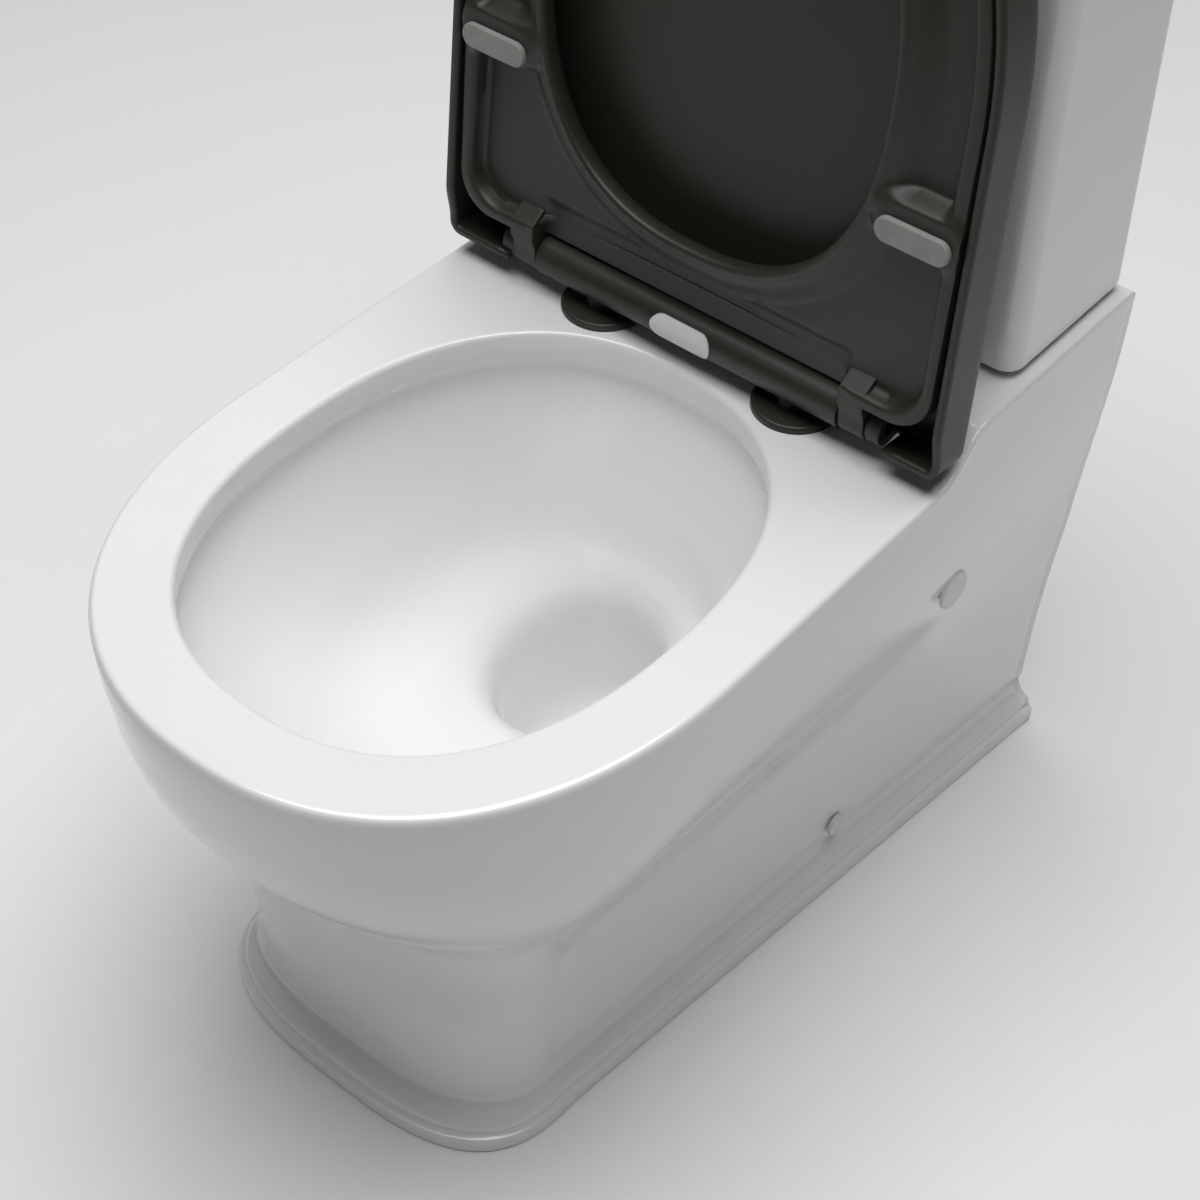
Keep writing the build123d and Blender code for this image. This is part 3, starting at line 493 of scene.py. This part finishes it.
class ToiletSeat(bpy.types.Operator):
    """Seat ring with its hollow underside, hinge ears and the lid that encloses it, drawn shut and raised"""
    bl_idname = "toilet.seat"
    bl_label = "Seat and lid"

    def execute(self, context):
        size = context.scene.toilet_seat
        self.ring(size)
        self.lid(size)
        return {"FINISHED"}

    def pad_seat(self, x, y):
        """1 on the raised plateau under each pad and 0 away from it: the plateau is the pad's pill
        outline, grown a little, joined with a larger one drawn away from the hinge."""
        share = np.zeros_like(x)
        for pad_x, pad_y in PADS:
            along = np.maximum(np.abs(np.abs(x) - pad_x) - PAD_HALF, 0)
            near = np.hypot(along, y - pad_y) - 0.0125
            hood = np.hypot(along, y - pad_y + 0.007) - 0.0140
            share = np.maximum(share, smooth(0.5 - np.minimum(near, hood) / 0.009))
        return share

    def ring(self, size):
        """Closed cross-section carried round the ring: each station lies a distance in from the outer
        edge, or out from the opening, on the line that joins the two outlines."""
        u = around(side=140, nose=360, back=200)
        x0, y0 = plan(u, **SEAT)
        angle = np.arctan2(y0 - SEAT_HOLE[0], x0)
        x1, y1 = oval(angle, *SEAT_HOLE)
        width = np.hypot(x1 - x0, y1 - y0)
        low, high = SEAT_LOW, SEAT_LOW + size.seat_thick
        floor = low + SEAT_HOLLOW
        # between the ears the flange drops away, so the hollow runs open to the barrel
        between = smooth((0.1290 - np.abs(x0)) / 0.007) * (u >= 3)
        outer = [(HOLLOW_END, floor - 0.0004), (0.0135, floor - 0.0020), (0.0120, low + 0.0045),
                 (0.0108, low + 0.0014), (0.0090, low + 0.0002), (0.0070, low), (0.0028, low),
                 (0.0010, low + 0.0006), (0.0, low + 0.0028), (0.0, high - 0.0070),
                 (0.0012, high - 0.0035), (0.0035, high - 0.0014), (0.0075, high - 0.0003), (0.014, high)]
        inner = [(0.018, high - 0.0002), (0.010, high - 0.0012), (0.0045, high - 0.0038),
                 (0.0012, high - 0.0075), (0.0, high - 0.0115), (0.0, low + 0.0030),
                 (0.0008, low + 0.0010), (0.0022, low + 0.0001), (0.0050, low), (0.0062, low + 0.0006),
                 (0.0072, low + 0.0016), (0.0095, low + 0.0022), (0.0130, low + 0.0040),
                 (0.0180, low + 0.0078), (0.0220, low + 0.0102), (HOLLOW_START, floor)]
        levels = []

        def station(share, z):
            x, y = x0 + (x1 - x0) * share, y0 + (y1 - y0) * share
            raised = (low - PAD_SEAT_DROP - z) * self.pad_seat(x, y) * (z < floor + 0.004)
            return x, y, z + raised

        for into, z in outer:
            lifted = z + between * np.maximum(floor + 0.003 - z, 0)
            levels.append(station(into / width, lifted))
        for out, z in inner:
            levels.append(station(1 - out / width, z))
        # the hollow's floor: a crease ahead of the barrel, and raised seats for the pads
        start, end = 1 - HOLLOW_START / width, HOLLOW_END / width
        for t in np.linspace(0, 1, 64)[1:-1]:
            share = start + (end - start) * t
            x, y = x0 + (x1 - x0) * share, y0 + (y1 - y0) * share
            crease = smooth((y - 0.066) / 0.010) * smooth((0.125 - np.abs(x)) / 0.012)
            levels.append(station(share, floor + 0.0035 * crease))
        seat = surface("seat_ring", open_up(stack(*levels)), loop=True)
        finish_piece(seat, "seat", "seat_plastic", moulded_plastic(), "seat")
        flanks = [(0.092, high - 0.003), (0.079, floor + 0.002), (0.079, floor), (0.088, low + 0.0006),
                  (0.099, low + 0.0004), (0.1050, low + 0.0036)]
        rounded = self.round_end(EAR_RADIUS, np.linspace(-np.pi / 2, np.pi / 2, 21))
        ear_top = high - 0.0025
        outline = [point for point in rounded if point[1] < ear_top] + [(HINGE_Y, ear_top)] + flanks
        self.arms("seat_ear", EAR_X, outline, "seat")

    def round_end(self, radius, turn):
        """Arc about the hinge axis, as y and z."""
        return [(HINGE_Y + radius * np.cos(a), HINGE_Z + radius * np.sin(a)) for a in turn]

    def arms(self, name, x, outline, body):
        """A pair of hinge arms: an upright outline drawn shut, carried across and turned up."""
        yz = open_up(np.array([(0.0, *point) for point in outline]))[:, 1:]
        for side, word in SIDES:
            arm = prism(f"{name}_{word}", yz, *sorted((side * x[0], side * x[1])), ARM_BEVEL)
            finish_piece(arm, body, "seat_plastic", moulded_plastic())

    def lid(self, size):
        """Shallow tray: an upright edge, a rounded shoulder and a slightly crowned top, as a thin
        sheet."""
        u = around(side=44, nose=120, back=60)
        low, top, edge = COVER_LOW, COVER_TOP, size.lid_round
        x0, y0 = plan(u, **COVER)
        levels = []
        shoulder = top - edge
        rear = COVER_REAR_LIFT * smooth((y0 - 0.085) / 0.030)
        profile = [(0, z + rear * (shoulder - z) / (shoulder - low))
                   for z in np.linspace(low, shoulder, 8)]
        profile += [(edge * (1 - np.cos(a)), shoulder + edge * np.sin(a) - COVER_CROWN)
                    for a in np.linspace(0, np.pi / 2, 8)[1:]]
        for inset, z in profile:
            shape = dict(COVER, half=COVER["half"] - inset, nose=COVER["nose"] - inset,
                         half_back=COVER["half_back"] - inset, back_y=COVER["back_y"] - inset)
            levels.append((*plan(u, **shape), z))
        x1, y1, z1 = levels[-1]
        for share in np.linspace(0, 0.97, 30)[1:]:
            levels.append((x1 * (1 - share), y1 + (COVER_MIDDLE_Y - y1) * share,
                           z1 + COVER_CROWN * smooth(share / 0.25)))
        points = stack(*levels)
        # the back edge is cut away between the lugs, so the barrel and the ears stand free
        x, y, z = np.moveaxis(row_middles(points), -1, 0)
        notch = (y > COVER["back_y"] - 0.006) & (np.abs(x) < LUG_X[1]) & (z < shoulder)
        lid = surface("seat_lid_shell", open_up(points), keep=~notch, close_last=True)
        thicken(lid, size.lid_wall)
        finish_piece(lid, "seat_lid", "seat_plastic", moulded_plastic(), "seat_lid")
        outline = self.round_end(LUG_RADIUS, np.linspace(-np.pi, 0, 25))
        outline += [(HINGE_Y + 0.008, top - 0.003), (HINGE_Y - LUG_RADIUS, top - 0.003)]
        self.arms("lid_lug", LUG_X, outline, "seat_lid")


# ---- finishes --------------------------------------------------------------------------------

class Wire:
    """A shader socket in arithmetic: each operator adds one Math node."""

    def __init__(self, tree, socket):
        self.tree, self.socket = tree, socket

    def maths(self, operation, first, second):
        node = self.tree.nodes.new("ShaderNodeMath")
        node.operation = operation
        for slot, value in zip(node.inputs, (first, second)):
            if isinstance(value, Wire):
                self.tree.links.new(value.socket, slot)
            else:
                slot.default_value = value
        return Wire(self.tree, node.outputs[0])

    def __add__(self, other):
        return self.maths("ADD", self, other)

    def __radd__(self, other):
        return self.maths("ADD", other, self)

    def __sub__(self, other):
        return self.maths("SUBTRACT", self, other)

    def __mul__(self, other):
        return self.maths("MULTIPLY", self, other)

    def __rmul__(self, other):
        return self.maths("MULTIPLY", other, self)


MIX_A, MIX_B, MIX_RESULT = 6, 7, 2                   # colour sockets of a Mix node


class Finish:
    """A Principled material that pieces share, with one way to add any node."""

    def __init__(self, name, colour, **constants):
        self.material = bpy.data.materials.new(name)
        self.material.use_nodes = True
        self.tree = self.material.node_tree
        self.shader = self.tree.nodes["Principled BSDF"]
        self.shader.inputs["Base Color"].default_value = (*colour, 1)
        for key, value in constants.items():
            self.shader.inputs[key.replace("_", " ")].default_value = value
        self.place = self.node("ShaderNodeTexCoord").outputs["Object"]

    def node(self, kind, settings=None, **inputs):
        node = self.tree.nodes.new(kind)
        for key, value in (settings or {}).items():
            setattr(node, key, value)
        for key, value in inputs.items():
            self.feed(node.inputs[key.replace("_", " ")], value)
        return node

    def feed(self, slot, value):
        if isinstance(value, Wire):
            self.tree.links.new(value.socket, slot)
        elif isinstance(value, bpy.types.NodeSocket):
            self.tree.links.new(value, slot)
        else:
            slot.default_value = value

    def noise(self, scale, detail=3.0):
        """Cloudy value about one half, in features of one over scale metres."""
        node = self.node("ShaderNodeTexNoise", Vector=self.place, Scale=scale, Detail=detail,
                         Roughness=0.5)
        return Wire(self.tree, node.outputs[0])

    def spots(self, scale, low, high):
        """1 in small round specks and 0 elsewhere, from the distance to scattered cell points."""
        cell = self.node("ShaderNodeTexVoronoi", Vector=self.place, Scale=scale)
        span = self.node("ShaderNodeMapRange", Value=cell.outputs["Distance"],
                         From_Min=low, From_Max=high, To_Min=1.0, To_Max=0.0)
        return Wire(self.tree, span.outputs[0])

    def tint(self, share, first, second):
        """Base colour between two colours."""
        mix = self.node("ShaderNodeMix", {"data_type": "RGBA"})
        self.feed(mix.inputs[0], share)
        mix.inputs[MIX_A].default_value = (*first, 1)
        mix.inputs[MIX_B].default_value = (*second, 1)
        self.feed(self.shader.inputs["Base Color"], mix.outputs[MIX_RESULT])

    def relief(self, height, distance, strength):
        bump = self.node("ShaderNodeBump", Height=height, Distance=distance, Strength=strength)
        self.feed(self.shader.inputs["Normal"], bump.outputs[0])

    def rough(self, value):
        self.feed(self.shader.inputs["Roughness"], value)


FINISHES = {}


def shared(make):
    """Builds a finish once and hands the same material to every piece."""
    def get():
        if make.__name__ not in FINISHES:
            FINISHES[make.__name__] = make(bpy.context.scene.toilet_finish).material
        return FINISHES[make.__name__]
    return get


def shade(tone, factor):
    return tuple(min(1.0, channel * factor) for channel in tone)


@shared
def glazed_china(tones):
    """Bright glaze: faint pooling of tone, rare pinholes, long soft waves and fine orange peel."""
    finish = Finish("glazed_china", tones.china, Roughness=0.12, IOR=1.5,
                    Coat_Weight=0.35, Coat_Roughness=0.05)
    cloud = finish.noise(9.0, 2.0)
    pits = finish.spots(95.0, 0.018, 0.030)
    finish.tint(cloud, shade(tones.china, 0.975), shade(tones.china, 1.012))
    finish.rough(0.10 + 0.07 * cloud + 0.15 * pits)
    wave, peel = finish.noise(22.0, 1.0), finish.noise(420.0, 2.0)
    finish.relief(wave * 0.9 + peel * 0.05 - pits * 0.06, 0.0006, 0.35)
    return finish


@shared
def moulded_plastic(tones):
    """Dark thermoset with a fine matt grain, smoother where hands polish it."""
    finish = Finish("seat_plastic", tones.seat, Roughness=0.42, IOR=1.5)
    grain, wear = finish.noise(2600.0, 2.0), finish.noise(14.0, 4.0)
    finish.tint(wear, shade(tones.seat, 0.86), shade(tones.seat, 1.18))
    finish.rough(0.34 + 0.14 * wear + 0.06 * grain)
    finish.relief(grain * 0.6 + wear * 0.4, 0.0002, 0.30)
    return finish


@shared
def white_plastic(tones):
    """White moulded plastic with faint flow marks."""
    finish = Finish("button_plastic", tones.button, Roughness=0.28, IOR=1.46)
    flow, grain = finish.noise(60.0, 3.0), finish.noise(1800.0)
    finish.tint(flow, shade(tones.button, 0.95), shade(tones.button, 1.03))
    finish.rough(0.24 + 0.12 * flow)
    finish.relief(grain, 0.0001, 0.25)
    return finish


@shared
def soft_pad(tones):
    """Soft translucent pad: cloudy inside, with a dusty, slightly scuffed face."""
    finish = Finish("bumper_rubber", tones.bumper, Roughness=0.45, IOR=1.42,
                    Subsurface_Weight=0.25, Subsurface_Scale=0.004)
    haze, scuff = finish.noise(130.0, 3.0), finish.noise(700.0, 4.0)
    finish.tint(haze, shade(tones.bumper, 0.85), shade(tones.bumper, 1.2))
    finish.rough(0.36 + 0.22 * scuff)
    finish.relief(scuff, 0.0001, 0.3)
    return finish


def plain_finish(name, tone, roughness, grain_scale, spread=0.1, metallic=0.0):
    """Plain stock finish: its tone and roughness drift with a cloud, over a fine grain."""
    def make(_):
        finish = Finish(name, tone, Metallic=metallic, IOR=1.48)
        cloud, grain = finish.noise(45.0, 4.0), finish.noise(grain_scale, 3.0)
        finish.tint(cloud, shade(tone, 1 - spread), shade(tone, 1 + spread))
        finish.rough(roughness * 0.8 + roughness * 0.4 * cloud + 0.05 * grain)
        finish.relief(grain, 0.0001, 0.25)
        return finish
    make.__name__ = name
    return shared(make)


STOCK = {
    "damper_plastic": plain_finish("damper_plastic", (0.05, 0.05, 0.052), 0.4, 1500),
    "pin_steel": plain_finish("pin_steel", (0.55, 0.55, 0.55), 0.28, 900, metallic=1.0),
    "nut_plastic": plain_finish("nut_plastic", (0.72, 0.72, 0.69), 0.42, 1200),
    "seal_rubber": plain_finish("seal_rubber", (0.030, 0.030, 0.030), 0.65, 800, 0.2),
    "bracket_plastic": plain_finish("bracket_plastic", (0.62, 0.62, 0.60), 0.45, 1200),
    "valve_plastic": plain_finish("valve_plastic", (0.68, 0.70, 0.73), 0.35, 1400),
    "rod_brass": plain_finish("rod_brass", (0.62, 0.44, 0.17), 0.30, 900, 0.15, 1.0),
    "button_chrome": plain_finish("button_chrome", (0.50, 0.51, 0.52), 0.16, 1500, 0.04, 1.0),
    "spring_steel": plain_finish("spring_steel", (0.60, 0.60, 0.60), 0.22, 1500, metallic=1.0),
    "button_plastic": white_plastic,
    "bumper_rubber": soft_pad,
    "seat_plastic": moulded_plastic,
    "glazed_china": glazed_china,
}


def finish_piece(obj, body, slot, material, *stands_for):
    """Material and body of a new piece, and the frame's nodes that it stands for. The slot is not used."""
    obj.data.materials.clear()
    obj.data.materials.append(material)
    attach(obj, body)
    if stands_for:
        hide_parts(*stands_for)


class ToiletFinishes(bpy.types.Operator):
    """Give every piece carried over from the frame its finish"""
    bl_idname = "toilet.finishes"
    bl_label = "Finishes"

    def execute(self, context):
        for part in frame["record"]["subparts"]:
            node = frame["nodes"][part["node"]]
            node.data.materials.clear()
            node.data.materials.append(STOCK[part["material_slot"]]())
        return {"FINISHED"}


# ---- stage -----------------------------------------------------------------------------------

FLOOR_HALF = 7.0
FLOOR_TONE, FLOOR_DARK, FLOOR_PALE = (0.93, 0.93, 0.93), (0.92, 0.92, 0.92), (0.94, 0.94, 0.94)
SKY_STRENGTH = 0.04
CAMERA_PLACE = (0.703, -0.806, 1.329)
CAMERA_AIM = (-0.4574, 0.5393, -0.7071)
CAMERA_LENS, CAMERA_SENSOR = 70.2, 36.0              # millimetres
# name, place, aim, width in metres, watts
LIGHTS = [
    ("ceiling", (0.0, 0.1, 3.2), (0.0, 0.0, 0.3), 2.6, 98.0),
    ("left_window", (-2.6, -1.6, 1.9), (0.0, 0.0, 0.4), 1.6, 2.0),
]


class ToiletStage(bpy.types.Operator):
    """Pale floor, soft studio light and the camera"""
    bl_idname = "toilet.stage"
    bl_label = "Stage"

    def execute(self, context):
        scene = context.scene
        ends = (-FLOOR_HALF, FLOOR_HALF)
        corners = np.array([[(x, y, 0.0) for x in ends] for y in ends])
        floor = surface("floor", corners, ring=False, outward=-1)
        paint = Finish("floor_paint", FLOOR_TONE, Roughness=0.9)
        paint.tint(paint.noise(3.0), FLOOR_DARK, FLOOR_PALE)
        floor.data.materials.append(paint.material)
        world = bpy.data.worlds.new("studio")
        world.use_nodes = True
        background = world.node_tree.nodes["Background"]
        background.inputs["Color"].default_value = (1, 1, 1, 1)
        background.inputs["Strength"].default_value = SKY_STRENGTH
        scene.world = world
        scene.view_settings.view_transform = "Standard"
        for name, place, aim, width, watts in LIGHTS:
            light = bpy.data.lights.new(name, "AREA")
            light.shape, light.size, light.energy = "SQUARE", width, watts
            lamp = bpy.data.objects.new(name, light)
            lamp.location = place
            lamp.rotation_euler = (Vector(aim) - Vector(place)).to_track_quat("-Z", "Y").to_euler()
            scene.collection.objects.link(lamp)
        camera = bpy.data.cameras.new("camera")
        camera.lens, camera.sensor_width = CAMERA_LENS, CAMERA_SENSOR
        eye = bpy.data.objects.new("camera", camera)
        eye.location = CAMERA_PLACE
        eye.rotation_euler = Vector(CAMERA_AIM).to_track_quat("-Z", "Y").to_euler()
        scene.collection.objects.link(eye)
        scene.camera = eye
        return {"FINISHED"}


class ToiletPanel(bpy.types.Panel):
    """Sidebar list of the builders"""
    bl_idname = "VIEW3D_PT_toilet"
    bl_label = "Toilet"
    bl_space_type = "VIEW_3D"
    bl_region_type = "UI"
    bl_category = "Toilet"

    def draw(self, context):
        for group in GROUPS:
            sizes = getattr(context.scene, group)
            for key in sizes.__annotations__:
                self.layout.prop(sizes, key)
        for operator in BUILDERS:
            self.layout.operator(operator.bl_idname)


GROUPS = {"toilet_pan": PanSizes, "toilet_tank": TankSizes, "toilet_seat": SeatSizes,
          "toilet_finish": Finishes}
BUILDERS = (ToiletPan, ToiletTank, ToiletSeat, ToiletFinishes, ToiletStage)
CLASSES = (*GROUPS.values(), *BUILDERS, ToiletPanel)


def register():
    for cls in CLASSES:
        bpy.utils.register_class(cls)
    for name, cls in GROUPS.items():
        setattr(bpy.types.Scene, name, PointerProperty(type=cls))


def unregister():
    for name in GROUPS:
        delattr(bpy.types.Scene, name)
    for cls in reversed(CLASSES):
        bpy.utils.unregister_class(cls)


def main():
    register()
    bpy.ops.toilet.finishes()
    bpy.ops.toilet.pan()
    bpy.ops.toilet.tank()
    bpy.ops.toilet.seat()
    bpy.ops.toilet.stage()


if __name__ == "__main__":
    main()
